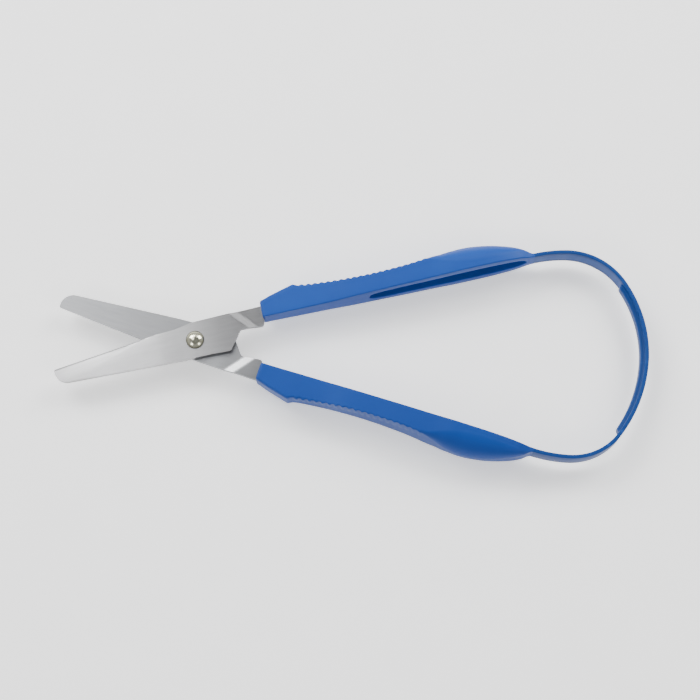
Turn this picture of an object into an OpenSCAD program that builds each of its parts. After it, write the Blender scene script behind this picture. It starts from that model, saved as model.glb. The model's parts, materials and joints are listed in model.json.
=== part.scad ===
// Self-opening scissors with a flexible loop handle.
// +X runs from the blade tips to the loop, +Z is the pivot axis and +Y the front half's side.
// The scissors lie on z = 0 with the blades apart, as the free loop holds them.

/* [Halves] */
// Angle of the front half from the middle line
front_angle = 14.6; // [0:0.1:20]
// Angle of the back half from the middle line
back_angle = 16.8; // [0:0.1:20]
// Turn of both grips near their heels, the same way round
grip_toe = 1.4; // [0:0.1:3]

/* [Blades] */
// Thickness of the steel
steel_t = 1.7; // [1.2:0.1:2.2]
// Thickness left where the flat grind meets the cutting bevel
edge_t = 0.9; // [0.6:0.1:1.4]
// Width of the cutting bevel
bevel_w = 1.1; // [0.6:0.1:2]

/* [Pivot] */
// Diameter of the rivet's shank
rivet_d = 3.6; // [3:0.1:5]
// Diameter of the rivet's domed head
rivet_head_d = 6.6; // [5:0.1:9]
// Height of the domed head
rivet_head_h = 1.8; // [1:0.1:3]
// Running clearance around the shank, on the radius
pivot_clear = 0.05; // [0.01:0.01:0.1]

/* [Grips] */
// Depth of a grip at the palm, along the pivot axis
palm_depth = 15; // [12:0.5:18]
// Thickness of the wall behind the finger hollow
hollow_wall = 1.9; // [1.2:0.1:3]
// Number of grip ridges
ridge_count = 20; // [8:1:24]
// Distance from one ridge to the next
ridge_pitch = 2.4; // [1.6:0.1:4]
// Height of a ridge
ridge_h = 0.5; // [0:0.05:1]

/* [Loop] */
// Thickness of the flexible band
band_t = 1.4; // [1:0.05:2]
// Width of the flexible band, along the pivot axis
band_w = 8; // [6:0.5:12]
// Height of the rib inside the stiff stretch
rib_h = 1.4; // [0:0.1:2]
// Width of the rib
rib_w = 4.2; // [2:0.1:6]

/* [Hidden] */
$fn = 64;
far = 200;

steel_colour = "lightgray";
rivet_colour = "darkkhaki";
plastic_colour = "royalblue";

// The pivot stands here, so that the origin is under the middle of the open scissors.
pivot_x = -56.5;
pivot_y = 4.4;
mid_z = palm_depth / 2;

// A half is drawn along its own line: u runs from the tip (-) past the pivot (0) to the
// loop (+), v from the middle of the scissors outward. Each point is [u, v, corner radius].
// The shank lies between inner and outer and starts at crotch_u. It differs on the two halves.
function blade_outline(crotch_u, inner, outer) = [
  [-51.9, 2.1, 0.7], [-15.5, 5.3, 14], [-6.5, 5.6, 8], [0.5, 6.75, 5],
  [29.5, outer, 2], [33, 6.6, 2], [60, 6.2, 1.5], [60, 3, 1.5], [26.5, 3, 1],
  [25.6, inner, 1.2], [crotch_u, inner + 0.55, 1.5], [11.7, -7.3, 1.2], [5, -6.8, 8],
  [-8, -6.4, 30], [-51.8, -3.7, 4.8]
];
front_shank = [16.9, -0.75, 6.7];
back_shank = [17.8, 0.05, 7.9];
// The flat grind leaves full thickness behind the line between these two points.
grind_tip = [-50, -4.4];
grind_heel = [-6, 8.5];
// The straight cutting edge runs between these two points.
edge_tip = [-51.9, 2.1];
edge_heel = [-15.5, 5.3];
bevel_angle = 38;
// Neither cut reaches nearer to the pivot than this.
ground_u = -4;
// The sheet steps sideways to the middle of the grip along a slanting bend.
bend_u = 12.6;
bend_v = 7.2;
bend_slant = 51;
bend_w = 4.2;
tang_hole_d = 3;
tang_hole_u = 46;
tang_hole_v = 4.7;

washer_d = 7;
washer_t = 0.5;
washer_gap = 0.05;
tail_d = 5.4;
tail_h = 1.1;

// A grip is a skin through cross-sections along u. Each table is [u, value].
toe_u = 25.1;
heel_u = 25.8;
heel_round = 1.2;
root_u = 128;
root_v = 2.06;
joint_gap = 0.25;
outer_v = [
  [heel_u, 8.2], [30, 9.35], [38.2, 11.4], [39, 11.5], [41, 10.55], [46, 9.7], [54.5, 8.7],
  [64, 8.1], [74, 8.05], [85, 8.6], [93, 9.95], [98, 11], [104, 11.45], [110, 10.75],
  [115.5, 9.2], [121.5, 6.8], [125, 4.9], [root_u, root_v + band_t / 2]
];
inner_v = [
  [heel_u, 1.65], [45, 1.4], [60, 1.3], [118, 1.3], [root_u, root_v - band_t / 2]
];
half_depth = [
  [heel_u, 3.9], [39, 4.2], [50, 4.6], [60, 5.5], [70, 6.1], [80, 6.7], [92, 7.2],
  [99, palm_depth / 2 + 0.25], [110, palm_depth / 2 + 0.25], [117, 7.1], [122, 6.1],
  [root_u, band_w / 2]
];
outer_square = [
  [heel_u, 9], [84, 9], [92, 5], [98, 2.5], [116, 2.5], [124, 4], [root_u, 9]
];
inner_square = 9;
ridge_start = 40.95;
section_points = 24;

hollow_start = 65.4;
hollow_end = 125.4;
hollow_share = 0.5;

// Stretches of the band from a grip to the loop's far side: [radius, turn, pieces, ribbed].
upper_arcs = [[49.5, 13.5, 2, false], [24.545, 57.9, 2, false], [47, 38.8, 3, true]];
lower_arcs = [[49, 15.4, 2, false], [21.353, 54.4, 2, false], [53.5, 31.4, 3, true]];
far_gap = 0.4;
rib_setback = 0.35;
rib_chamfer = 0.5;

// Value of a table at u, along a smooth curve through its points.
function slope(table, i) =
  i == 0 || i == len(table) - 1 ? 0
  : (table[i + 1][1] - table[i - 1][1]) / (table[i + 1][0] - table[i - 1][0]);
function span_of(table, u, i = 0) =
  i >= len(table) - 2 || u < table[i + 1][0] ? i : span_of(table, u, i + 1);
function curve(table, u) =
  let (
    i = span_of(table, u),
    w = table[i + 1][0] - table[i][0],
    t = (u - table[i][0]) / w
  )
  (1 + 2 * t) * pow(1 - t, 2) * table[i][1] + t * pow(1 - t, 2) * w * slope(table, i)
  + t * t * (3 - 2 * t) * table[i + 1][1] + t * t * (t - 1) * w * slope(table, i + 1);

// Arc that rounds the corner at point b of an outline.
function corner(a, b, c) =
  let (
    p = [b[0], b[1]],
    to_a = [a[0], a[1]] - p,
    to_c = [c[0], c[1]] - p,
    ua = to_a / norm(to_a),
    uc = to_c / norm(to_c),
    half = acos(ua * uc) / 2,
    reach = b[2] / tan(half),
    centre = p + (ua + uc) / norm(ua + uc) * b[2] / sin(half),
    from_a = p + ua * reach - centre,
    from_c = p + uc * reach - centre,
    sweep = 180 - 2 * half,
    steps = max(1, ceil(sweep / 9)),
    side = sign(from_a[0] * from_c[1] - from_a[1] * from_c[0])
  )
  [for (k = [0:steps])
    let (q = side * sweep * k / steps)
    centre + [from_a[0] * cos(q) - from_a[1] * sin(q), from_a[0] * sin(q) + from_a[1] * cos(q)]];
function rounded(points) =
  let (n = len(points))
  [for (i = [0:n - 1]) each corner(points[(i + n - 1) % n], points[i], points[(i + 1) % n])];

module front_half() {
  translate([pivot_x, pivot_y, mid_z]) rotate([0, 0, front_angle]) children();
}

module back_half() {
  translate([pivot_x, pivot_y, mid_z]) rotate([0, 0, -back_angle]) mirror([0, 1, 0]) children();
}

// The grip's own line, turned about a point near the heel.
module toed(turn) {
  translate([toe_u, 0, 0]) rotate([0, 0, turn]) translate([-toe_u, 0, 0]) children();
}

// Sheet with a sideways step: flat from the tip to the bend, then about the middle plane.
module stepped_sheet(side) {
  low = side > 0 ? 0 : -steel_t;
  profile = [
    [-far, low], [0, low], [bend_w, -steel_t / 2], [far, -steel_t / 2],
    [far, steel_t / 2], [bend_w, steel_t / 2], [0, low + steel_t], [-far, low + steel_t]
  ];
  translate([bend_u, bend_v, 0]) rotate([0, 0, 90 - bend_slant])
    rotate([90, 0, 0]) translate([0, 0, -far / 2]) linear_extrude(far) polygon(profile);
}

// Half-space over a plane that holds the line from a to b and drops beyond it.
module grind_cut(a, b, z, fall) {
  line = b - a;
  translate([a[0], a[1], z]) rotate([0, 0, atan2(line[1], line[0])]) rotate([-fall, 0, 0])
    translate([-far / 2, -1, 0]) cube(far);
}

// side is 1 for the blade above the joint plane and -1 for the blade under it.
module blade(side, hole_d) {
  grind_line = grind_heel - grind_tip;
  shank = side > 0 ? front_shank : back_shank;
  reach = (edge_tip - grind_tip) * [-grind_line[1], grind_line[0]] / norm(grind_line);
  difference() {
    intersection() {
      linear_extrude(far, center = true)
        polygon(rounded(blade_outline(shank[0], shank[1], shank[2])));
      stepped_sheet(side);
    }
    cylinder(h = far, d = hole_d, center = true);
    translate([tang_hole_u, tang_hole_v, 0]) cylinder(h = far, d = tang_hole_d, center = true);
    intersection() {
      translate([ground_u - far, -far / 2, -far / 2]) cube(far);
      mirror([0, 0, side > 0 ? 0 : 1]) {
        grind_cut(grind_tip, grind_heel, steel_t, atan((steel_t - edge_t) / reach));
        translate([0, -bevel_w, 0]) grind_cut(edge_tip, edge_heel, edge_t, bevel_angle);
      }
    }
  }
}

module blade_front() {
  color(steel_colour) front_half() blade(1, rivet_d);
}

module blade_back() {
  color(steel_colour) back_half() blade(-1, rivet_d + 2 * pivot_clear);
}

// Spherical cap of diameter d and height h, standing on z = 0.
module dome(d, h) {
  r = (d * d / 4 + h * h) / (2 * h);
  intersection() {
    translate([0, 0, h - r]) sphere(r);
    cylinder(h = h + 1, d = d);
  }
}

module pivot_rivet() {
  washer_bottom = -steel_t - washer_gap - washer_t;
  color(rivet_colour) translate([pivot_x, pivot_y, mid_z]) {
    translate([0, 0, washer_bottom]) cylinder(h = steel_t - washer_bottom, d = rivet_d);
    translate([0, 0, steel_t]) dome(rivet_head_d, rivet_head_h);
    translate([0, 0, washer_bottom]) mirror([0, 0, 1]) dome(tail_d, tail_h);
  }
}

module rivet_washer() {
  color(rivet_colour) translate([pivot_x, pivot_y, mid_z - steel_t - washer_gap - washer_t])
    difference() {
      cylinder(h = washer_t, d = washer_d);
      translate([0, 0, -1]) cylinder(h = washer_t + 2, d = rivet_d);
    }
}

// Inset of the skin near the heel, which rounds the heel's edge.
function heel_inset(u) =
  let (t = u - heel_u)
  t >= heel_round ? 0 : heel_round - sqrt(heel_round * heel_round - pow(heel_round - t, 2));
// The ridges are on the front part of the side only.
function ridge(u) =
  let (k = (u - ridge_start) / ridge_pitch)
  k < 0 || k > ridge_count ? 0
  : ridge_h * (1 - 0.5 * k / ridge_count) * (0.5 - 0.5 * cos(360 * k));
function bulge(x, square) = sign(x) * pow(abs(x), 2 / square);

// One closed cross-section of the grip at u.
function section(u) =
  let (
    inset = heel_inset(u),
    outer = curve(outer_v, u) - inset,
    inner = curve(inner_v, u) + inset,
    depth = curve(half_depth, u) - inset,
    middle = (outer + inner) / 2
  )
  [for (k = [0:section_points - 1])
    let (
      q = 360 * (k + 0.5) / section_points,
      square = cos(q) > 0 ? curve(outer_square, u) : inner_square,
      reach = cos(q) > 0 ? outer + (sin(q) > 0 ? ridge(u) : 0) - middle : middle - inner
    )
    [u, middle + reach * bulge(cos(q), square), max(-mid_z, depth * bulge(sin(q), square))]];

grip_stations = [
  for (t = [0, 0.15, 0.5, 1.2]) heel_u + t,
  for (u = [28.2:2.5:39]) u,
  39, 39.9,
  for (k = [0:2 * ridge_count]) ridge_start + k * ridge_pitch / 2,
  for (u = [91.5:2.5:123]) u,
  124.5, 126, 127, root_u - joint_gap
];

module grip_skin() {
  n = section_points;
  last = len(grip_stations) - 1;
  polyhedron(
    points = [for (u = grip_stations) each section(u)],
    faces = [
      [for (k = [0:n - 1]) k],
      [for (k = [n - 1:-1:0]) last * n + k],
      for (i = [0:last - 1], k = [0:n - 1])
        each [
          [i * n + k, (i + 1) * n + k, (i + 1) * n + (k + 1) % n],
          [i * n + k, (i + 1) * n + (k + 1) % n, i * n + (k + 1) % n]
        ]
    ]
  );
}

// Finger hollow: open on the inner side, with round ends and an even wall behind it.
module hollow() {
  middle_u = (hollow_start + hollow_end) / 2;
  length = hollow_end - hollow_start;
  steps = 24;
  across = [
    for (k = [0:steps])
      let (
        u = middle_u - length / 2 * cos(180 * k / steps),
        t = 2 * (u - middle_u) / length
      )
      [u, hollow_share * curve(half_depth, u) * pow(max(0, 1 - pow(abs(t), 10)), 0.5)]
  ];
  back = [for (k = [0:steps]) let (u = across[k][0]) [u, curve(outer_v, u) - hollow_wall]];
  intersection() {
    rotate([90, 0, 0]) linear_extrude(far, center = true)
      polygon(concat(across, [for (k = [steps - 1:-1:1]) [across[k][0], -across[k][1]]]));
    linear_extrude(far, center = true)
      polygon(concat(back, [[hollow_end, -10], [hollow_start, -10]]));
  }
}

module grip(side, toe) {
  color(plastic_colour) difference() {
    toed(toe) difference() {
      grip_skin();
      hollow();
    }
    blade(side, rivet_d);
  }
}

module grip_upper() {
  front_half() grip(1, -grip_toe);
}

module grip_lower() {
  back_half() grip(-1, grip_toe);
}

// Each piece of the band as [radius, turn, ribbed], in order from the grip.
function pieces(arcs) = [for (a = arcs) for (k = [1:a[2]]) [a[0], a[1] / a[2], a[3]]];
// Place and heading at the start of piece i: [u, v, heading].
function start_of(list, i) =
  i == 0 ? [root_u, root_v, 0]
  : let (
      s = start_of(list, i - 1),
      r = list[i - 1][0],
      h = s[2] - list[i - 1][1]
    )
    [s[0] + r * (sin(s[2]) - sin(h)), s[1] + r * (cos(h) - cos(s[2])), h];

// Sector of a ring about the piece's own centre, cut back by length at its two ends.
module sector(r, turn, near, beyond) {
  near_turn = near / r * 180 / PI;
  beyond_turn = beyond / r * 180 / PI;
  rotate([0, 0, 90 - turn + beyond_turn])
    rotate_extrude(angle = turn - near_turn - beyond_turn, $fn = 180) children();
}

module band_piece(list, i) {
  s = start_of(list, i);
  r = list[i][0];
  turn = list[i][1];
  end_gap = i == len(list) - 1 ? far_gap : joint_gap;
  translate([s[0], s[1], 0]) rotate([0, 0, s[2]]) translate([0, -r, 0]) {
    sector(r, turn, joint_gap, end_gap)
      translate([r - band_t / 2, -band_w / 2]) square([band_t, band_w]);
    if (list[i][2])
      sector(r, turn, joint_gap + rib_setback, end_gap + rib_setback)
        polygon([
          [r, -rib_w / 2], [r, rib_w / 2], [r - band_t / 2, rib_w / 2],
          [r - band_t / 2 - rib_h, rib_w / 2 - rib_chamfer],
          [r - band_t / 2 - rib_h, rib_chamfer - rib_w / 2],
          [r - band_t / 2, -rib_w / 2]
        ]);
  }
}

module loop_upper(i) {
  color(plastic_colour) front_half() toed(-grip_toe) band_piece(pieces(upper_arcs), i);
}

module loop_lower(i) {
  color(plastic_colour) back_half() toed(grip_toe) band_piece(pieces(lower_arcs), i);
}

blade_front();
blade_back();
pivot_rivet();
rivet_washer();
grip_upper();
grip_lower();
for (i = [1:7]) loop_upper(i - 1);
for (i = [1:7]) loop_lower(i - 1);
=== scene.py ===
"""Loop scissors: steel blades on a domed rivet, blue grips and a flexible ribbed loop."""
import json
from math import asin, ceil, cos, degrees, pi, radians, sin, sqrt, tan

import bmesh
import bpy
from mathutils import Matrix, Vector

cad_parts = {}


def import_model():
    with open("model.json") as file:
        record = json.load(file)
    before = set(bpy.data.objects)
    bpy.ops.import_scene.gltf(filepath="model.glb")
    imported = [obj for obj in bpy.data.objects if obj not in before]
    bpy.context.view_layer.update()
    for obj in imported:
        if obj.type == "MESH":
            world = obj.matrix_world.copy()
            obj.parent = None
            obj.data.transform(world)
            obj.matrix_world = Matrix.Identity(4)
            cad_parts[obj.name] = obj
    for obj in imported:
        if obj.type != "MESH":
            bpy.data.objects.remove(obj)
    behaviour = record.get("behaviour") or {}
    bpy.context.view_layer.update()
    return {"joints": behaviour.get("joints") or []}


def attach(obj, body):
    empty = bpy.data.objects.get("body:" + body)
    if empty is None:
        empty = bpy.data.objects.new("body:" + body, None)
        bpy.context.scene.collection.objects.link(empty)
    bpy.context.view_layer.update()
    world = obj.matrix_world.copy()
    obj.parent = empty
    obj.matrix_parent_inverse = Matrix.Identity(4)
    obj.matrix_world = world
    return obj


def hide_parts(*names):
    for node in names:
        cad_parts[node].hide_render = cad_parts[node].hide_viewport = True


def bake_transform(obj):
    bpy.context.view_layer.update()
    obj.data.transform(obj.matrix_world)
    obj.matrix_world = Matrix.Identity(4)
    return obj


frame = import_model()

# Lengths below are in millimetres along a half's own line, as the CAD model draws it:
# u runs from the tip (-) past the pivot (0) to the loop (+), v outward, z along the pivot.
MM = 0.001
JOINTS = {j["name"]: Vector(j["pos_m"]) for j in frame["joints"]}
PIVOT = JOINTS["pivot"]
MID_Z = PIVOT.z / MM

# Angles of the two halves from the middle line, and of their grips about the toe point.
FRONT_ANGLE = 14.6
BACK_ANGLE = 16.8
GRIP_TOE = 1.4
TOE_U = 25.1

# Steel sheet, rivet shank and the gaps around the shank where it is tight and where it turns.
STEEL_T = 1.7
RIVET_D = 3.6
TIGHT_GAP = 0.02
RUN_GAP = 0.05

# A grip runs from its heel to its root, where the band starts.
HEEL_U = 25.8
ROOT_U = 128.0
ROOT_V = 2.06
BAND_T = 1.38
BAND_W = 7.98
RIB_H = 1.4
RIB_W = 4.2


# ---------------------------------------------------------------- places

def spin(angle):
    return Matrix.Rotation(radians(angle), 4, "Z")


def half(side):
    """Matrix of the front half (1) or the back half (-1), in metres from its own line."""
    if side > 0:
        return Matrix.Translation(PIVOT) @ spin(FRONT_ANGLE)
    return Matrix.Translation(PIVOT) @ spin(-BACK_ANGLE) @ Matrix.Scale(-1, 4, (0, 1, 0))


def toed(side):
    """Matrix of a half's grip and band, both turned slightly clockwise about the toe point."""
    centre = Matrix.Translation((TOE_U * MM, 0, 0))
    return half(side) @ centre @ spin(-GRIP_TOE * side) @ centre.inverted()


# ---------------------------------------------------------------- curves

def curve(table, u):
    """Value at u of a table of (u, value) points, along a smooth curve through them."""
    if u <= table[0][0]:
        return table[0][1]
    if u >= table[-1][0]:
        return table[-1][1]
    i = max(k for k in range(len(table) - 1) if table[k][0] <= u)

    def slope(k):
        if k in (0, len(table) - 1):
            return 0.0
        (u0, y0), (u1, y1) = table[k - 1], table[k + 1]
        return (y1 - y0) / (u1 - u0)

    (u0, y0), (u1, y1) = table[i], table[i + 1]
    w = u1 - u0
    t = (u - u0) / w
    return ((1 + 2 * t) * (1 - t) ** 2 * y0 + t * (1 - t) ** 2 * w * slope(i)
            + t * t * (3 - 2 * t) * y1 + t * t * (t - 1) * w * slope(i + 1))


def smooth(t):
    """Soft step from 0 to 1."""
    t = min(1.0, max(0.0, t))
    return t * t * (3 - 2 * t)


def corner(a, b, c, step=6.0):
    """Points of the arc that rounds corner b, given as (u, v, radius)."""
    p = Vector(b[:2])
    ua = (Vector(a[:2]) - p).normalized()
    uc = (Vector(c[:2]) - p).normalized()
    half_angle = ua.angle(uc) / 2
    centre = p + (ua + uc).normalized() * b[2] / sin(half_angle)
    from_a = p + ua * b[2] / tan(half_angle) - centre
    from_c = p + uc * b[2] / tan(half_angle) - centre
    sweep = pi - 2 * half_angle
    steps = max(1, ceil(degrees(sweep) / step))
    side = 1 if from_a.x * from_c.y - from_a.y * from_c.x > 0 else -1
    return [centre + Matrix.Rotation(side * sweep * k / steps, 2) @ from_a
            for k in range(steps + 1)]


def rounded(points):
    """Closed outline of (u, v, radius) corners, each rounded by its radius."""
    n = len(points)
    return [q for i in range(n)
            for q in corner(points[i - 1], points[i], points[(i + 1) % n])]


# ---------------------------------------------------------------- meshes

def finish_mesh(name, bm, material, sharp=35):
    """A new object from a bmesh in metres, with outward faces and smooth shading."""
    bmesh.ops.recalc_face_normals(bm, faces=bm.faces)
    mesh = bpy.data.meshes.new(name)
    bm.to_mesh(mesh)
    bm.free()
    mesh.shade_smooth()
    mesh.set_sharp_from_angle(angle=radians(sharp))
    mesh.materials.append(material)
    piece = bpy.data.objects.new(name, mesh)
    bpy.context.scene.collection.objects.link(piece)
    return piece


def skin(rings, place, closed_start=True, closed_end=True):
    """A bmesh tube through rings of (u, v, z) points in mm, set by the matrix place."""
    bm = bmesh.new()
    flow = bm.loops.layers.uv.new("flow")
    rows = [[bm.verts.new(place @ (Vector(p) * MM)) for p in ring] for ring in rings]
    n = len(rings[0])
    for i in range(len(rings) - 1):
        for k in range(n):
            corners = [(i, k), (i + 1, k), (i + 1, (k + 1) % n), (i, (k + 1) % n)]
            face = bm.faces.new([rows[a][b] for a, b in corners])
            for loop, (a, b) in zip(face.loops, corners):
                loop[flow].uv = (rings[a][b][0] / 10, rings[a][b][1] / 10)
    for closed, row in ((closed_start, rows[0]), (closed_end, rows[-1])):
        if closed:
            bm.faces.new(row)
    return bm


# ---------------------------------------------------------------- materials

class Nodes:
    """Short hand for building one material's node tree."""

    def __init__(self, name):
        self.material = bpy.data.materials.new(name)
        self.material.use_nodes = True
        self.tree = self.material.node_tree
        self.shader = self.tree.nodes["Principled BSDF"]

    def feed(self, socket, value):
        """Link another node's output to a socket, or set the socket's own value."""
        if isinstance(value, bpy.types.NodeSocket):
            self.tree.links.new(value, socket)
        else:
            socket.default_value = value

    def add(self, kind, inputs=(), **settings):
        node = self.tree.nodes.new(kind)
        for key, value in settings.items():
            setattr(node, key, value)
        for key, value in dict(inputs).items():
            self.feed(node.inputs[key], value)
        return node

    def noise(self, place, scale, detail=3.0, roughness=0.5):
        return self.add("ShaderNodeTexNoise", {
            "Vector": place, "Scale": scale, "Detail": detail,
            "Roughness": roughness}).outputs["Fac"]

    def ramp(self, factor, stops):
        node = self.add("ShaderNodeValToRGB", {"Fac": factor})
        ramp = node.color_ramp
        while len(ramp.elements) < len(stops):
            ramp.elements.new(0.5)
        for element, (place, colour) in zip(ramp.elements, stops):
            element.position = place
            element.color = colour
        return node.outputs["Color"]

    def mix(self, factor, a, b, blend="MIX"):
        node = self.add("ShaderNodeMix", {0: factor, 6: a, 7: b},
                        data_type="RGBA", blend_type=blend)
        return node.outputs[2]

    def remap(self, value, low, high, to_low, to_high):
        node = self.add("ShaderNodeMapRange", {
            "Value": value, "From Min": low, "From Max": high,
            "To Min": to_low, "To Max": to_high})
        return node.outputs["Result"]

    def bump(self, height, strength, distance):
        return self.add("ShaderNodeBump", {
            "Height": height, "Strength": strength, "Distance": distance}).outputs["Normal"]

    def set(self, **inputs):
        for key, value in inputs.items():
            self.feed(self.shader.inputs[key.replace("_", " ")], value)


def grey(value):
    return (value, value, value, 1)


# The steel's painted light and shade is given along the blade, from its tip to the grip, in
# centimetres of u.
PAINTED_SHADE_START, PAINTED_SHADE_END = -5.2, 2.6


def steel_material(name, tint, painted_shade_ramp):
    """Stainless sheet with fine grinding lines along the blade, faint wider streaks, and painted
    light and shade along the blade.
    """
    m = Nodes(name)
    uv = m.add("ShaderNodeUVMap", uv_map="flow").outputs["UV"]
    fine = m.add("ShaderNodeMapping", {"Vector": uv, "Scale": (0.6, 26, 1)}).outputs["Vector"]
    wide = m.add("ShaderNodeMapping", {"Vector": uv, "Scale": (0.35, 3.2, 1)}).outputs["Vector"]
    lines = m.noise(fine, 5.0, detail=6.0, roughness=0.6)
    streaks = m.noise(wide, 2.2)
    soft = m.ramp(streaks, [(0.3, grey(0.9)), (0.7, grey(1.0))])
    hair = m.ramp(lines, [(0.3, grey(0.93)), (0.7, grey(1.0))])
    along = m.add("ShaderNodeSeparateXYZ", {"Vector": uv}).outputs["X"]
    # Painted light and shade: the ramp lightens and darkens the steel's colour along the blade.
    shade = m.ramp(m.remap(along, PAINTED_SHADE_START, PAINTED_SHADE_END, 0, 1), painted_shade_ramp)
    colour = tint
    for layer in (soft, hair, shade):
        colour = m.mix(1.0, colour, layer, "MULTIPLY")
    m.set(Base_Color=colour, Metallic=1.0,
          Roughness=m.remap(lines, 0.3, 0.7, 0.27, 0.37),
          Normal=m.bump(lines, 0.12, 0.00004))
    return m.material


# Paler blue for a painted highlight on the plastic's sharp edges.
EDGE_HIGHLIGHT_BLUE = (0.03, 0.11, 0.40, 1)
# Dark brownish colour for painted shade at the rivet head's foot.
HEAD_FOOT_SHADE = (0.10, 0.095, 0.07, 1)


def plastic_material(name, colour, deep):
    """Moulded satin plastic: a faint mottle in the colour, a very fine orange-peel skin, and a
    painted highlight that lightens the sharp edges.
    """
    m = Nodes(name)
    place = m.add("ShaderNodeTexCoord").outputs["Object"]
    cloud = m.noise(place, 45.0)
    orange_peel = m.noise(place, 2600.0, roughness=0.6)
    # Painted highlight: sharp edges, found by pointiness, are lightened toward the paler blue.
    edge = m.add("ShaderNodeNewGeometry").outputs["Pointiness"]
    edge_highlight = m.remap(edge, 0.52, 0.6, 0, 0.3)
    body = m.mix(m.remap(cloud, 0.35, 0.65, 0, 1), colour, deep)
    m.set(Base_Color=m.mix(edge_highlight, body, EDGE_HIGHLIGHT_BLUE),
          Roughness=m.remap(cloud, 0.3, 0.7, 0.38, 0.46),
          Specular_IOR_Level=0.15,
          Subsurface_Weight=0.04,
          Subsurface_Scale=0.002,
          Normal=m.bump(orange_peel, 0.12, 0.00005))
    return m.material


def rivet_material():
    """Bright, faintly yellow plating with small marks, and painted shade darkening the head's
    foot.
    """
    m = Nodes("rivet_metal")
    place = m.add("ShaderNodeTexCoord").outputs["Object"]
    marks = m.noise(place, 900.0, detail=4.0, roughness=0.6)
    centre = PIVOT + Vector((0, 0, STEEL_T * MM))
    reach = m.add("ShaderNodeVectorMath", {0: place, 1: centre}, operation="DISTANCE")
    # Painted shade: the colour darkens from 2.5 mm out from the head's centre, so the dome's
    # foot where it meets the blade, and the tail and washer underneath, are darkened.
    rim = m.remap(reach.outputs["Value"], 2.5 * MM, 3.2 * MM, 0, 0.9)
    metal = m.ramp(marks, [(0.35, (0.54, 0.53, 0.39, 1)), (0.65, (0.72, 0.71, 0.57, 1))])
    m.set(Base_Color=m.mix(rim, metal, HEAD_FOOT_SHADE),
          Metallic=1.0,
          Roughness=m.remap(marks, 0.3, 0.7, 0.1, 0.2),
          Normal=m.bump(marks, 0.1, 0.00005))
    return m.material


def floor_material():
    """Pale matt paper that gives off a little light of its own."""
    m = Nodes("floor_paper")
    place = m.add("ShaderNodeTexCoord").outputs["Object"]
    grain = m.noise(place, 60.0, detail=2.0)
    m.set(Base_Color=m.ramp(grain, [(0.3, grey(0.88)), (0.7, grey(0.9))]), Roughness=0.85,
          Emission_Color=grey(1.0), Emission_Strength=0.6)
    return m.material


# Painted light and shade along each blade: the front blade is brightest in its middle and darker
# toward the tip and the tang; the back blade is lighter at its shank and darker at the tang. The
# real sheet has an even tone.
FRONT_PAINTED_SHADE = [(0.0, grey(0.48)), (0.22, grey(0.9)), (0.4, grey(1.0)), (0.56, grey(0.9)),
              (0.8, grey(0.5)), (0.92, grey(0.4)), (1.0, grey(0.43))]
BACK_PAINTED_SHADE = [(0.0, grey(0.57)), (0.62, grey(0.57)), (0.79, grey(0.72)), (0.84, grey(0.58)),
             (0.9, grey(0.57)), (1.0, grey(0.46))]
# The back blade's steel is tinted darker than the front's: painted shade on the same steel.
STEEL_FRONT = steel_material("steel_front", (0.68, 0.68, 0.69, 1), FRONT_PAINTED_SHADE)
STEEL_BACK = steel_material("steel_back", (0.60, 0.61, 0.63, 1), BACK_PAINTED_SHADE)
# The back grip's blue is darker than the front grip's: painted shade on the same plastic.
GRIP_BLUES = {
    1: plastic_material("grip_blue_front", (0.011, 0.062, 0.30, 1), (0.009, 0.055, 0.28, 1)),
    -1: plastic_material("grip_blue_back", (0.006, 0.048, 0.25, 1), (0.005, 0.043, 0.23, 1)),
}
# The loop's blue is darker than both grips': painted shade on the same plastic.
LOOP_BLUE = plastic_material("loop_blue", (0.006, 0.042, 0.19, 1), (0.005, 0.037, 0.17, 1))
RIVET_METAL = rivet_material()


# ---------------------------------------------------------------- blades

def blade_outline(crotch_u, inner, outer):
    """Outline of one blade with its shank between inner and outer: (u, v, corner radius)."""
    return [
        (-51.88, 2.1, 0.7), (-15.5, 5.3, 14), (-6.5, 5.6, 8), (0.5, 6.75, 5),
        (29.5, outer, 2), (33, 6.6, 2), (60, 6.2, 1.5), (60, 3, 1.5), (26.5, 3, 1),
        (25.6, inner, 1.2), (crotch_u, inner + 0.55, 1.5), (11.7, -7.3, 1.2),
        (5, -6.8, 8), (-8, -6.4, 30), (-51.78, -3.7, 4.8),
    ]


# Where each shank's inner side starts, and where its inner and outer sides run.
SHANKS = {1: (16.9, -0.75, 6.7), -1: (17.8, 0.05, 7.9)}

# The sheet steps sideways to the middle of the grip along a slanting bend.
BEND_PLACE = Vector((12.6, 7.2))
BEND_NORMAL = Vector((cos(radians(39)), sin(radians(39))))
BEND_W = 4.2
BEND_STEPS = 36
BEND_ROUND = 0.3

# The flat grind thins the blade beyond one line, and the bevel follows the cutting edge. Both
# fade out near the pivot: (start, length) along u.
GRIND_TIP, GRIND_HEEL = Vector((-50, -4.4)), Vector((-6, 8.5))
EDGE_TIP, EDGE_HEEL = Vector((-51.9, 2.1)), Vector((-15.5, 5.3))
GRIND_FADE = (-14, 10)
BEVEL_W = 0.8
BEVEL_FADE = (-30, 22)
EDGE_T = 0.9
BEVEL_END_T = 0.3

HOLE_STEPS = 48
RIM_ROUND = 0.12
RIM_LEAST_T = 1.2
GRIND_ROWS = range(-6, 13)
BEVEL_ROWS = (1.0, 0.75, 0.5, 0.25)
FADE_ROWS = range(-16, -3)


def outward(a, b):
    """Unit normal of the line from a to b, on its left."""
    line = (b - a).normalized()
    return Vector((-line.y, line.x))


GRIND_NORMAL = outward(GRIND_TIP, GRIND_HEEL)
EDGE_NORMAL = outward(EDGE_TIP, EDGE_HEEL)
GRIND_SOFT = 2.4
GRIND_FALL = (STEEL_T - EDGE_T) / (EDGE_TIP - GRIND_TIP).dot(GRIND_NORMAL)


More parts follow.
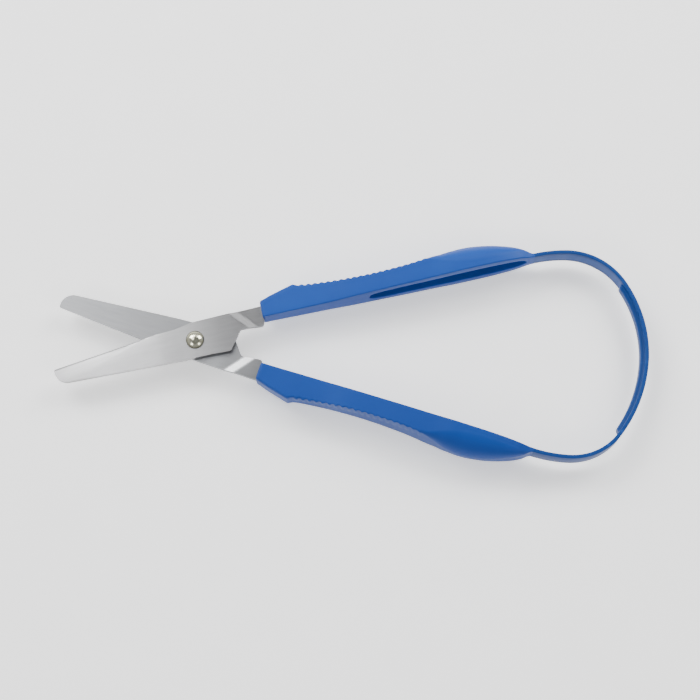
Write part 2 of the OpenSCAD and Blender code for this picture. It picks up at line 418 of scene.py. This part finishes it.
def bend_rise(t):
    """Straight ramp from 0 to 1 with rounded ends."""
    t = min(1.0, max(0.0, t))
    if t < BEND_ROUND:
        return t * t / (2 * BEND_ROUND * (1 - BEND_ROUND))
    if t > 1 - BEND_ROUND:
        return 1 - (1 - t) ** 2 / (2 * BEND_ROUND * (1 - BEND_ROUND))
    return (t - BEND_ROUND / 2) / (1 - BEND_ROUND)


def fade(u, start_and_length):
    """1 up to the start, then smoothly down to 0 over the length."""
    start, length = start_and_length
    return 1 - smooth((u - start) / length)


def blade_faces(p):
    """Heights of the inner and outer face at p, from the joint plane outward, in mm."""
    bend = bend_rise((p - BEND_PLACE).dot(BEND_NORMAL) / BEND_W) * STEEL_T / 2
    across = (p - GRIND_TIP).dot(GRIND_NORMAL)
    grind = 0.5 * (across + sqrt(across ** 2 + GRIND_SOFT ** 2) - GRIND_SOFT) * GRIND_FALL
    grind *= fade(p.x, GRIND_FADE)
    from_edge = (EDGE_TIP - p).dot(EDGE_NORMAL)
    bevel_w = BEVEL_W * fade(p.x, BEVEL_FADE)
    bevel = max(0.0, bevel_w - from_edge) * (EDGE_T - BEVEL_END_T) / BEVEL_W
    return -bend, STEEL_T - grind - bevel - bend


def cut_along(bm, point, normal):
    """Split the flat mesh along the line through point, so that the sheet can bend there."""
    bmesh.ops.bisect_plane(
        bm, geom=bm.verts[:] + bm.edges[:] + bm.faces[:], dist=1e-5,
        plane_co=(point.x, point.y, 0), plane_no=(normal.x, normal.y, 0))


def ring_edges(bm, points):
    """Closed outline of edges through flat points."""
    verts = [bm.verts.new((p.x, p.y, 0)) for p in points]
    return [bm.edges.new((verts[i - 1], verts[i])) for i in range(len(verts))]


def blade(name, side, material):
    """One blade with its tang: a flat outline, cut into rows and set to its two heights."""
    flat = bmesh.new()
    ring_edges(flat, rounded(blade_outline(*SHANKS[side])))
    hole_r = RIVET_D / 2 + (TIGHT_GAP if side > 0 else RUN_GAP)
    turns = [2 * pi * k / HOLE_STEPS for k in range(HOLE_STEPS)]
    ring_edges(flat, [Vector((hole_r * cos(q), hole_r * sin(q))) for q in turns])
    bmesh.ops.triangle_fill(flat, use_beauty=True, edges=flat.edges[:])
    for k in range(BEND_STEPS + 1):
        cut_along(flat, BEND_PLACE + BEND_NORMAL * BEND_W * k / BEND_STEPS, BEND_NORMAL)
    for k in GRIND_ROWS:
        cut_along(flat, GRIND_TIP + GRIND_NORMAL * GRIND_SOFT / 4 * k, GRIND_NORMAL)
    for share in BEVEL_ROWS:
        cut_along(flat, EDGE_TIP - EDGE_NORMAL * BEVEL_W * share, EDGE_NORMAL)
    for u in FADE_ROWS:
        cut_along(flat, Vector((u, 0)), Vector((1, 0)))
    bm = bmesh.new()
    inner, outer = {}, {}
    for v in flat.verts:
        low, high = blade_faces(v.co.xy)
        inner[v] = bm.verts.new((v.co.x, v.co.y, side * low))
        outer[v] = bm.verts.new((v.co.x, v.co.y, side * high))
    for f in flat.faces:
        bm.faces.new([inner[v] for v in f.verts])
        bm.faces.new([outer[v] for v in reversed(f.verts)])
    rims = []
    for e in flat.edges:
        if len(e.link_faces) == 1:
            a, b = e.verts
            bm.faces.new((inner[a], inner[b], outer[b], outer[a]))
            thick = min(abs(outer[v].co.z - inner[v].co.z) for v in e.verts)
            for layer in (inner, outer) if thick > RIM_LEAST_T else ():
                rims.append(bm.edges.get((layer[a], layer[b])))
    flat.free()
    bmesh.ops.recalc_face_normals(bm, faces=bm.faces)
    bmesh.ops.bevel(bm, geom=[e for e in rims if e], offset=RIM_ROUND, segments=2,
                    profile=0.5, affect="EDGES", clamp_overlap=True)
    flow = bm.loops.layers.uv.new("flow")
    for f in bm.faces:
        for loop in f.loops:
            loop[flow].uv = (loop.vert.co.x / 10, loop.vert.co.y / 10)
    place = half(side)
    for v in bm.verts:
        v.co = place @ (v.co * MM)
    return finish_mesh(name, bm, material, sharp=5)


# ---------------------------------------------------------------- rivet

LATHE_STEPS = 72


def lathe(name, profile, closed=False):
    """Metal turned about the pivot axis from (radius, height) points in mm, or a closed ring."""
    bm = bmesh.new()
    rows = []
    for r, z in profile:
        steps = LATHE_STEPS if r > 1e-6 else 1
        turns = [2 * pi * k / LATHE_STEPS for k in range(steps)]
        rows.append([bm.verts.new(PIVOT + Vector((r * cos(q), r * sin(q), z)) * MM)
                     for q in turns])
    for low, high in zip(rows, rows[1:] + (rows[:1] if closed else [])):
        for k in range(LATHE_STEPS):
            a, b = low[k % len(low)], low[(k + 1) % len(low)]
            c, d = high[(k + 1) % len(high)], high[k % len(high)]
            bm.faces.new(list(dict.fromkeys((a, b, c, d))))
    return finish_mesh(name, bm, RIVET_METAL, sharp=40)


# The foot of a cap: upright rim, and a groove of this depth under it.
CAP_RIM_H = 0.25
CAP_GROOVE = 0.3
CAP_STEPS = 14


def cap_profile(d, h, z, up):
    """Dome of diameter d and height h on z, from a groove at its foot to its middle."""
    rise = h - CAP_RIM_H
    r = (d * d / 4 + rise ** 2) / (2 * rise)
    top = asin(d / 2 / r)
    groove_r = d / 2 - CAP_GROOVE
    points = [(groove_r, z), (groove_r, z + up * 0.08), (d / 2, z + up * 0.12)]
    for k in range(CAP_STEPS + 1):
        q = top * (1 - k / CAP_STEPS)
        points.append((r * sin(q), z + up * (CAP_RIM_H + r * cos(q) - r * cos(top))))
    return points


HEAD_D, HEAD_H = 6.6, 1.8
TAIL_D, TAIL_H = 5.4, 1.1
WASHER_D, WASHER_T, WASHER_GAP = 7.0, 0.5, 0.05
WASHER_CHAMFER = 0.1


def rivet():
    """Domed head, shank and peened tail, turned as one piece."""
    head = cap_profile(HEAD_D, HEAD_H, STEEL_T, 1)
    tail = cap_profile(TAIL_D, TAIL_H, -STEEL_T - WASHER_GAP - WASHER_T, -1)
    shank_r = RIVET_D / 2
    profile = tail[::-1] + [(shank_r, tail[0][1]), (shank_r, STEEL_T)] + head
    return lathe("rivet", profile)


def washer():
    """Thin disc under the tail, with a chamfered rim."""
    top = -STEEL_T - WASHER_GAP
    low = top - WASHER_T
    hole, rim, c = RIVET_D / 2 + TIGHT_GAP, WASHER_D / 2, WASHER_CHAMFER
    profile = [(hole, low), (rim - c, low), (rim, low + c), (rim, top - c), (rim - c, top),
               (hole, top)]
    return lathe("rivet_washer_disc", profile, closed=True)


# ---------------------------------------------------------------- grips

# A grip is a skin through cross-sections along u. The tables of (u, value) points say where its
# outer and inner sides are, half its depth along z, and how far the section's corners are
# rounded.
PALM = MID_Z
OUTER_V = [
    (HEEL_U, 8.2), (30, 9.35), (38.2, 11.4), (39, 11.5), (41, 10.55), (46, 9.7), (54.5, 8.7),
    (64, 8.1), (74, 8.05), (85, 8.6), (93, 9.9), (98, 10.92), (104, 11.35), (110, 10.62),
    (115.5, 9.2), (121.5, 6.8), (125, 4.9), (ROOT_U, ROOT_V + BAND_T / 2),
]
INNER_V = [(HEEL_U, 1.65), (45, 1.4), (60, 1.3), (118, 1.3), (ROOT_U, ROOT_V - BAND_T / 2)]
HALF_DEPTH = [(HEEL_U, 3.9), (39, 4.2), (50, 4.6), (60, 5.5), (70, 6.1), (80, 6.7), (92, 7.2),
              (99, PALM + 0.25), (110, PALM + 0.25), (117, 7.1), (122, 6.1),
              (ROOT_U, BAND_W / 2)]
INNER_ROUND = [(HEEL_U, 0.4), (60, 0.45), (110, 0.5), (122, 0.5), (126.5, 0.35), (ROOT_U, 0.3)]
OUTER_ROUND_V = [(HEEL_U, 0.9), (40, 0.8), (52, 0.45), (84, 0.5), (88, 0.8), (91, 1.7),
                 (94, 3.6), (97, 5.4), (100, 6.7), (106, 7.6), (115, 6), (121, 3.4),
                 (125, 1.6), (ROOT_U, 0.3)]
OUTER_ROUND_Z = [(HEEL_U, 1.5), (40, 1.4), (52, 0.5), (84, 0.6), (88, 1), (91, 2),
                 (94, 4), (97, 5.6), (100, 6.6), (108, 7.2), (115, 6), (121, 3.8),
                 (125, 1.8), (ROOT_U, 0.3)]

# Ridges on the outer side: how far one reaches down the side's rounding, and how it dies out.
RIDGE_START, RIDGE_PITCH, RIDGE_COUNT, RIDGE_H = 40.95, 2.4, 20, 0.5
RIDGE_REACH = 1.2
RIDGE_FADE = 0.6

# The finger hollow: its share of the grip's depth, the wall behind it, how square its ends are,
# how quickly it gets deep, and the roundings of its lip and foot.
HOLLOW_START, HOLLOW_END = 65.4, 125.4
HOLLOW_SHARE = 0.5
HOLLOW_WALL = 1.9
HOLLOW_SQUARE = 14
HOLLOW_RAMP = 1.2
HOLLOW_LEAST = 0.25
LIP_R = 0.3
FOOT_R = 1.0

HEEL_ROUND = 0.8
CROWN = 0.12
PALM_SPARE = 0.28
FLOOR_Z = 0.002


def heel_inset(u):
    """How far the skin draws in near the heel, which rounds the heel's edge."""
    t = u - HEEL_U
    return 0.0 if t >= HEEL_ROUND else HEEL_ROUND - sqrt(HEEL_ROUND ** 2 - (HEEL_ROUND - t) ** 2)


def ridge(u):
    """Height of the grip's ridges at u, lower toward the palm."""
    k = (u - RIDGE_START) / RIDGE_PITCH
    if k < 0 or k > RIDGE_COUNT:
        return 0.0
    return RIDGE_H * (1 - 0.5 * k / RIDGE_COUNT) * (0.5 - 0.5 * cos(2 * pi * k))


def hollow_size(u):
    """Half-width and depth of the finger hollow at u; beyond its ends it has no depth."""
    t = (2 * u - HOLLOW_START - HOLLOW_END) / (HOLLOW_END - HOLLOW_START)
    if abs(t) >= 1:
        return HOLLOW_LEAST, 0.0
    ends = sqrt(1 - abs(t) ** HOLLOW_SQUARE)
    from_end = (1 - abs(t)) * (HOLLOW_END - HOLLOW_START) / 2
    width = max(HOLLOW_LEAST, HOLLOW_SHARE * curve(HALF_DEPTH, u) * ends)
    depth = curve(OUTER_V, u) - HOLLOW_WALL - curve(INNER_V, u)
    return width, depth * smooth(from_end / HOLLOW_RAMP)


def arc(centre, radii, start, stop, steps):
    """Points (v, z) of an elliptical arc; angles in degrees from +v toward +z."""
    return [(centre[0] + radii[0] * cos(radians(start + (stop - start) * k / steps)),
             centre[1] + radii[1] * sin(radians(start + (stop - start) * k / steps)))
            for k in range(steps + 1)]


def grip_ring(u):
    """One cross-section: the hollow, the inner land, a crowned face and the outer side."""
    inset = heel_inset(u)
    outer, inner = curve(OUTER_V, u) - inset, curve(INNER_V, u) + inset
    depth = min(curve(HALF_DEPTH, u), PALM + PALM_SPARE) - inset
    width, sink = hollow_size(u)
    lip = min(LIP_R, 0.45 * sink, 0.4 * width)
    foot = min(FOOT_R, 0.45 * sink, 0.5 * width)
    floor = inner + sink
    r_in = curve(INNER_ROUND, u)
    r_v = min(curve(OUTER_ROUND_V, u), outer - inner - r_in - 0.05)
    r_z = min(curve(OUTER_ROUND_Z, u), depth - 0.1)
    path = [(floor, 0.0), (floor, 0.5 * (width - foot))]
    path += arc((floor - foot, width - foot), (foot, foot), 0, 90, 4)
    path += arc((inner + lip, width + lip), (lip, lip), -90, -180, 4)
    path += [(inner, width + lip + 0.5 * (depth - r_in - width - lip))]
    path += arc((inner + r_in, depth - r_in), (r_in, r_in), 180, 90, 5)
    start, stop = inner + r_in, outer - r_v
    for k in range(1, 5):
        path.append((start + (stop - start) * k / 5, depth + CROWN * (sin(pi * k / 5) - 1)))
    path += arc((outer - r_v, depth - r_z), (r_v, r_z), 90, 0, 14)
    path += [(outer, share * (depth - r_z)) for share in (0.75, 0.5, 0.3, 0.15)]
    mirrored = [(v, -z) for v, z in reversed(path[1:])]
    ring = path + [(outer, 0.0)] + mirrored
    height = ridge(u)
    points = []
    for v, z in ring:
        # A ridge is full only on the outer side, and it dies out toward the middle plane.
        v += height * smooth((v - outer) / RIDGE_REACH + 1) * smooth(z / RIDGE_FADE / depth)
        points.append((u, v, max(FLOOR_Z - MID_Z, min(z, depth))))
    return points


def grip_stations():
    """Places of the cross-sections, closer together where the shape turns quickly."""
    stops = [HEEL_U + HEEL_ROUND * (1 - cos(radians(90 * k / 5))) for k in range(6)]
    stops += [27.2 + 0.8 * k for k in range(13)] + [37.7 + 0.3 * k for k in range(10)]
    stops += [RIDGE_START + RIDGE_PITCH * k / 8 for k in range(RIDGE_COUNT * 8 + 1)]
    stops += [89.7 + 0.7 * k for k in range(12)] + [98.4 + 0.9 * k for k in range(29)]
    middle, reach = (HOLLOW_START + HOLLOW_END) / 2, (HOLLOW_END - HOLLOW_START) / 2
    ends = (0.02, 0.08, 0.2, 0.4, 0.65, 0.95, 1.3, 1.8, 2.5, 3.3)
    stops += [middle - reach + e for e in ends] + [middle + reach - e for e in ends]
    stops += [HOLLOW_START, HOLLOW_END, 125.9, 126.4, 126.9, 127.4, ROOT_U]
    kept = []
    for u in sorted(stops):
        if not kept or u - kept[-1] > 0.015:
            kept.append(u)
    return kept


def grip(name, side):
    """One grip, left open at its root, where the band goes on."""
    bm = skin([grip_ring(u) for u in grip_stations()], toed(side), closed_end=False)
    bmesh.ops.remove_doubles(bm, verts=bm.verts, dist=1e-7)
    return finish_mesh(name, bm, GRIP_BLUES[side], sharp=42)


# ---------------------------------------------------------------- loop

# Stretches of the band from a grip to the loop's far side: (radius, turn, pieces, ribbed).
ARCS = {
    1: [(49.5, 13.5, 2, False), (24.545, 57.9, 2, False), (47, 38.8, 3, True)],
    -1: [(49, 15.4, 2, False), (21.353, 54.4, 2, False), (53.5, 31.4, 3, True)],
}

# The rib starts a little way into the ribbed stretch, and rises over this length.
RIB_START = {1: 0.0, -1: 1.2}
RIB_RISE = 1.3
RIB_ROUND = 0.5
BAND_ROUND = 0.3
TONGUE = 0.35
TONGUE_INSET = 0.04
RING_STEP = 0.45


def stretch_length(radius, turn):
    return radius * radians(turn)


def band_place(side, s):
    """Point and heading of the band's middle line at length s from the grip."""
    p, heading = Vector((ROOT_U, ROOT_V)), 0.0
    for radius, turn, _, _ in ARCS[side]:
        length = stretch_length(radius, turn)
        step = min(s, length)
        end = heading - step / radius
        p = p + radius * Vector((sin(heading) - sin(end), cos(end) - cos(heading)))
        heading = end
        s -= step
        if s <= 1e-9:
            break
    if s > 1e-9:
        p = p + s * Vector((cos(heading), sin(heading)))
    return p, heading


def rib_height(side, s):
    """Height of the inner rib at length s; it rises from the band in a quarter ellipse."""
    start = sum(stretch_length(r, t) for r, t, _, ribbed in ARCS[side] if not ribbed)
    x = min(1.0, max(0.0, (s - start - RIB_START[side]) / RIB_RISE))
    return RIB_H * sqrt(1 - (1 - x) ** 2)


def band_ring(side, s, inset=0.0):
    """One cross-section of the band and its rib at length s."""
    p, heading = band_place(side, s)
    t, w, r = BAND_T / 2 - inset, BAND_W / 2 - inset, BAND_ROUND
    rib, rib_w = rib_height(side, s), RIB_W / 2 - inset
    rib_r = min(RIB_ROUND, 0.9 * rib)
    path = arc((t - r, w - r), (r, r), 0, 90, 4)
    path += arc((r - t, w - r), (r, r), 90, 180, 4)
    path += [(-t, rib_w + 0.6), (-t, rib_w + 0.12), (-t - 0.15 * rib, rib_w)]
    path += arc((-t - rib + rib_r, rib_w - 0.1 - rib_r), (rib_r, rib_r), 90, 180, 4)
    mirrored = [(n, -z) for n, z in reversed(path)]
    n_dir = Vector((-sin(heading), cos(heading)))
    ring = []
    for n, z in [(t, 0.0)] + path + [(-t - rib, 0.0)] + mirrored:
        q = p + n * n_dir
        ring.append((q.x, q.y, z))
    return ring


def joint_lengths(side):
    """Length from the grip to each joint, and to the loop's far side at the end."""
    marks = [0.0]
    for radius, turn, count, _ in ARCS[side]:
        for _ in range(count):
            marks.append(marks[-1] + stretch_length(radius, turn) / count)
    return marks


def loop_pieces(side):
    """The band's pieces: each spans one joint, and they meet halfway between joints."""
    label = "upper" if side > 0 else "lower"
    place = toed(side)
    marks = joint_lengths(side)
    middles = [(a + b) / 2 for a, b in zip(marks, marks[1:])]
    bodies = ["front_half" if side > 0 else "back_half"]
    bodies += [f"loop_{label}_{i}" for i in range(1, 8)]

    def world(s):
        p, _ = band_place(side, s)
        return place @ (Vector((p.x, p.y, 0)) * MM)

    def stretch(low, high):
        steps = ceil((high - low) / RING_STEP)
        return [band_ring(side, low + (high - low) * k / steps) for k in range(steps + 1)]

    cuts = [0.0] + middles
    for i in range(7):
        low, high = cuts[i], cuts[i + 1]
        bm = skin(stretch(low, high), place, closed_start=False, closed_end=False)
        piece = finish_mesh(f"band_{label}_{i + 1}", bm, LOOP_BLUE, sharp=42)
        world(low)
        world(high)
        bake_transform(piece)
        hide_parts(f"loop_{label}_{i + 1}")
    low, high = middles[-1], marks[-1]
    rings = stretch(low, high)
    if side > 0:
        rings += [band_ring(side, s, TONGUE_INSET) for s in (high, high + TONGUE)]
    bm = skin(rings, place, closed_start=False)
    piece = finish_mesh(f"band_{label}_end", bm, LOOP_BLUE, sharp=42)
    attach(piece, bodies[-1])


# ---------------------------------------------------------------- the object

for node, piece, body in (
    ("blade_front", blade("front_blade", 1, STEEL_FRONT), "front_half"),
    ("blade_back", blade("back_blade", -1, STEEL_BACK), "back_half"),
    ("pivot_rivet", rivet(), "front_half"),
    ("rivet_washer", washer(), "front_half"),
    ("grip_upper", grip("upper_grip", 1), "front_half"),
    ("grip_lower", grip("lower_grip", -1), "back_half"),
):
    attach(piece, body)
    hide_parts(node)
loop_pieces(1)
loop_pieces(-1)


# ---------------------------------------------------------------- studio

FLOOR_SIZE = 6
LAMP_Z = 0.64
STRIP_SIZE = (0.4, 0.34)


def floor():
    bpy.ops.mesh.primitive_plane_add(size=FLOOR_SIZE, location=(0, 0, 0))
    plane = bpy.context.object
    plane.name = "floor"
    plane.data.materials.append(floor_material())


def softbox(name, place, target, size, power):
    """A white area lamp of (width, height) size in metres, facing the target."""
    light = bpy.data.lights.new(name, "AREA")
    light.shape = "RECTANGLE"
    light.size, light.size_y = size
    light.energy = power
    lamp = bpy.data.objects.new(name, light)
    lamp.location = place
    lamp.rotation_euler = (Vector(target) - Vector(place)).to_track_quat("-Z", "Y").to_euler()
    bpy.context.scene.collection.objects.link(lamp)


def surroundings():
    """A white tent: dim overhead, where the camera looks in, and brighter near the floor."""
    world = bpy.data.worlds.new("studio")
    world.use_nodes = True
    tree = world.node_tree
    place = tree.nodes.new("ShaderNodeTexCoord")
    split = tree.nodes.new("ShaderNodeSeparateXYZ")
    ramp = tree.nodes.new("ShaderNodeValToRGB")
    tree.links.new(place.outputs["Generated"], split.inputs["Vector"])
    tree.links.new(split.outputs["Z"], ramp.inputs["Fac"])
    tree.links.new(ramp.outputs["Color"], tree.nodes["Background"].inputs["Color"])
    ramp.color_ramp.elements[0].position = 0.25
    ramp.color_ramp.elements[0].color = (0.8, 0.8, 0.8, 1)
    ramp.color_ramp.elements[1].position = 0.85
    ramp.color_ramp.elements[1].color = (0.28, 0.285, 0.3, 1)
    tree.nodes["Background"].inputs["Strength"].default_value = 1.0
    bpy.context.scene.world = world


def camera():
    """Almost straight above the scissors, leaning a little toward the lower grip."""
    tilt = radians(16.5)
    distance = 0.554
    view_width = 0.2541
    target = Vector((-0.3, 1.03, MID_Z)) * MM
    lens = bpy.data.cameras.new("camera")
    lens.sensor_width = 36
    lens.lens = lens.sensor_width * distance / view_width
    eye = bpy.data.objects.new("camera", lens)
    eye.location = target + distance * Vector((0, -sin(tilt), cos(tilt)))
    eye.rotation_euler = (tilt, 0, 0)
    bpy.context.scene.collection.objects.link(eye)
    bpy.context.scene.camera = eye


floor()
surroundings()
for x, y, size, power in ((-0.6, 0.56, 0.45, 8), (0.6, 0.56, 0.5, 8),
                          (-0.6, -0.56, 0.3, 2), (0.6, -0.56, 0.35, 2)):
    softbox("lamp", (x, y, LAMP_Z), (0, 0, 0), (size, size), power)
softbox("back_strip_left", (-0.29, 0.73, 0.74), (0, 0, 0), STRIP_SIZE, 3.3)
softbox("back_strip_right", (0.31, 0.72, 0.74), (0, 0, 0), STRIP_SIZE, 1)
softbox("sheen", (-0.5, 0.3, 1.1), (-0.08, 0, 0), (0.45, 0.45), 2.5)
camera()
